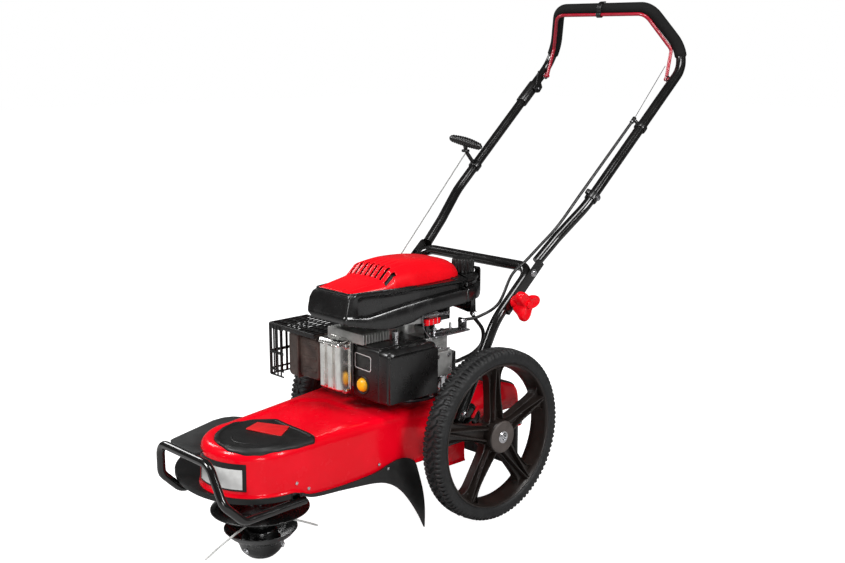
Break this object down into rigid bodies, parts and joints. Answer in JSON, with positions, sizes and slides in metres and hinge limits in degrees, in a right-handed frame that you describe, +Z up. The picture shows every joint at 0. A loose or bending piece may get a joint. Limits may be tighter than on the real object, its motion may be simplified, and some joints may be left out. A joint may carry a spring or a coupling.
{
  "type": "walk-behind string trimmer mower",
  "caption": "Wheeled petrol string trimmer mower with a belt-driven line head under a tongue-shaped deck, tall spoked wheels and a folding handle with a bail.",
  "frame": {"origin": "Middle of the bounding box in X and Y, on the ground that the wheels and the glide cup stand on.", "axes": "+Z up; the front of the mower (the line head) is toward -Y and the handle rises toward +Y; +X is the operator's left."},
  "size_m": [0.4948, 1.269, 1.052],
  "materials": {
    "black_plastic": "satin moulding",
    "black_rubber": "soft black rubber",
    "black_tube": "gloss black coated tube",
    "brown_plastic": "satin brown-black moulding",
    "cast_aluminium": "as cast",
    "crimson_paint": "gloss powder coat",
    "foam": "closed-cell foam",
    "grey_plate": "satin dark grey",
    "muffler_steel": "heat-browned",
    "nylon_line": "extruded nylon",
    "polished_aluminium": "polished",
    "red_paint": "gloss powder coat",
    "red_plastic": "glossy moulding",
    "steel": "zinc plated",
    "tyre_rubber": "knobby tread",
    "white_rope": "braided",
    "yellow_rubber": "translucent yellow"
  },
  "bodies": {
    "chassis": {"air_filter_base": "black_plastic", "air_filter_cover": "black_plastic", "axle": "steel", "axle_bracket_left": "red_paint", "axle_bracket_right": "red_paint", "blower_housing": "black_plastic", "carburettor": "cast_aluminium", "control_bracket": "steel", "control_cable": "black_rubber", "crankcase": "cast_aluminium", "cylinder": "cast_aluminium", "deck_shell": "red_paint", "drive_belt": "black_rubber", "front_bumper": "black_tube", "front_skirt": "black_plastic", "fuel_hose": "black_rubber", "fuel_tank": "black_plastic", "lower_handle": "black_tube", "muffler": "muffler_steel", "muffler_guard": "black_plastic", "nose_pad": "black_plastic", "rear_cover": "red_paint", "shield_plate": "grey_plate", "side_deflector": "black_rubber", "spindle_housing": "cast_aluminium", "starter_cover": "red_plastic", "starter_rope": "white_rope", "valve_cover": "polished_aluminium"},
    "left_wheel": {"left_tyre": "tyre_rubber", "left_rim": "brown_plastic", "left_hub_cap": "brown_plastic"},
    "right_wheel": {"right_tyre": "tyre_rubber", "right_rim": "brown_plastic", "right_hub_cap": "brown_plastic"},
    "crank": {"crankshaft": "steel", "flywheel": "cast_aluminium"},
    "head": {"spindle": "steel", "upper_disc": "black_plastic", "line_hub": "black_plastic", "glide_cup": "black_plastic", "trimmer_line_front": "nylon_line", "trimmer_line_rear": "nylon_line"},
    "handle": {"upper_handle": "black_tube", "foam_grip": "foam", "rope_guide": "black_plastic", "cable_stop": "black_plastic", "cable_clip": "black_plastic", "latch_block": "black_plastic", "bail_wire": "steel"},
    "bail_bar": {"bail": "crimson_paint", "bail_clip": "black_plastic"},
    "latch_lever": {"bail_latch": "black_plastic"},
    "recoil_grip": {"starter_grip": "black_plastic"},
    "left_knob": {"knob_left": "red_plastic"},
    "right_knob": {"knob_right": "red_plastic"},
    "tank_cap": {"fuel_cap": "black_plastic"},
    "oil_cap": {"dipstick": "black_plastic"},
    "primer": {"primer_bulb": "yellow_rubber"},
    "brake": {"brake_arm": "steel"},
    "trailing_flap": {"rear_flap": "black_rubber"}
  },
  "joints": [
    {"name": "left_wheel_spin", "type": "hinge", "parent": "chassis", "child": "left_wheel", "pos_m": [0.21, -0.02013, 0.178], "axis": [1, 0, 0], "continuous": true},
    {"name": "right_wheel_spin", "type": "hinge", "parent": "chassis", "child": "right_wheel", "pos_m": [-0.21, -0.02013, 0.178], "axis": [1, 0, 0], "continuous": true},
    {"name": "engine_spin", "type": "hinge", "parent": "chassis", "child": "crank", "pos_m": [0.04, -0.10013, 0.3], "axis": [0, 0, 1], "continuous": true},
    {"name": "head_spin", "type": "hinge", "parent": "chassis", "child": "head", "pos_m": [0.044, -0.47713, 0.15], "axis": [0, 0, 1], "continuous": true},
    {"name": "handle_fold", "type": "hinge", "parent": "chassis", "child": "handle", "pos_m": [0, 0.13587, 0.485], "axis": [1, 0, 0], "range_deg": [0, 120], "deforming": ["starter_rope", "control_cable"]},
    {"name": "bail_swing", "type": "hinge", "parent": "handle", "child": "bail_bar", "pos_m": [0, 0.57912, 0.8744], "axis": [1, 0, 0], "range_deg": [0, 30], "deforming": ["bail_wire"]},
    {"name": "bail_latch_turn", "type": "hinge", "parent": "handle", "child": "latch_lever", "pos_m": [-0.19876, 0.54531, 0.8447], "axis": [1, 0, 0], "range_deg": [0, 20]},
    {"name": "starter_pull", "type": "slide", "parent": "handle", "child": "recoil_grip", "axis": [0, 0.2873, 0.9578], "range_m": [0, 0.5]},
    {"name": "left_knob_turn", "type": "hinge", "parent": "chassis", "child": "left_knob", "pos_m": [0.2, 0.07652, 0.43286], "axis": [1, 0, 0], "continuous": true},
    {"name": "right_knob_turn", "type": "hinge", "parent": "chassis", "child": "right_knob", "pos_m": [-0.2, 0.07652, 0.43286], "axis": [1, 0, 0], "continuous": true},
    {"name": "fuel_cap_turn", "type": "hinge", "parent": "chassis", "child": "tank_cap", "pos_m": [0.07, 0.03587, 0.487], "axis": [0, 0, 1], "range_deg": [0, 120]},
    {"name": "dipstick_turn", "type": "hinge", "parent": "chassis", "child": "oil_cap", "pos_m": [-0.064, -0.09213, 0.398], "axis": [0, 0, 1], "range_deg": [0, 180]},
    {"name": "primer_press", "type": "slide", "parent": "chassis", "child": "primer", "axis": [0, 1, 0], "range_m": [0, 0.005], "stiffness_N_per_m": 400},
    {"name": "brake_arm_swing", "type": "hinge", "parent": "chassis", "child": "brake", "pos_m": [0.114, -0.09013, 0.386], "axis": [0, 0, 1], "range_deg": [0, 9]},
    {"name": "flap_swing", "type": "hinge", "parent": "chassis", "child": "trailing_flap", "pos_m": [0, 0.15587, 0.142], "axis": [1, 0, 0], "range_deg": [-10, 75]}
  ],
  "couplings": [
    {"joint": "head_spin", "follows": "engine_spin", "ratio": 0.66667},
    {"joint": "brake_arm_swing", "follows": "bail_swing", "ratio": 0.3}
  ]
}
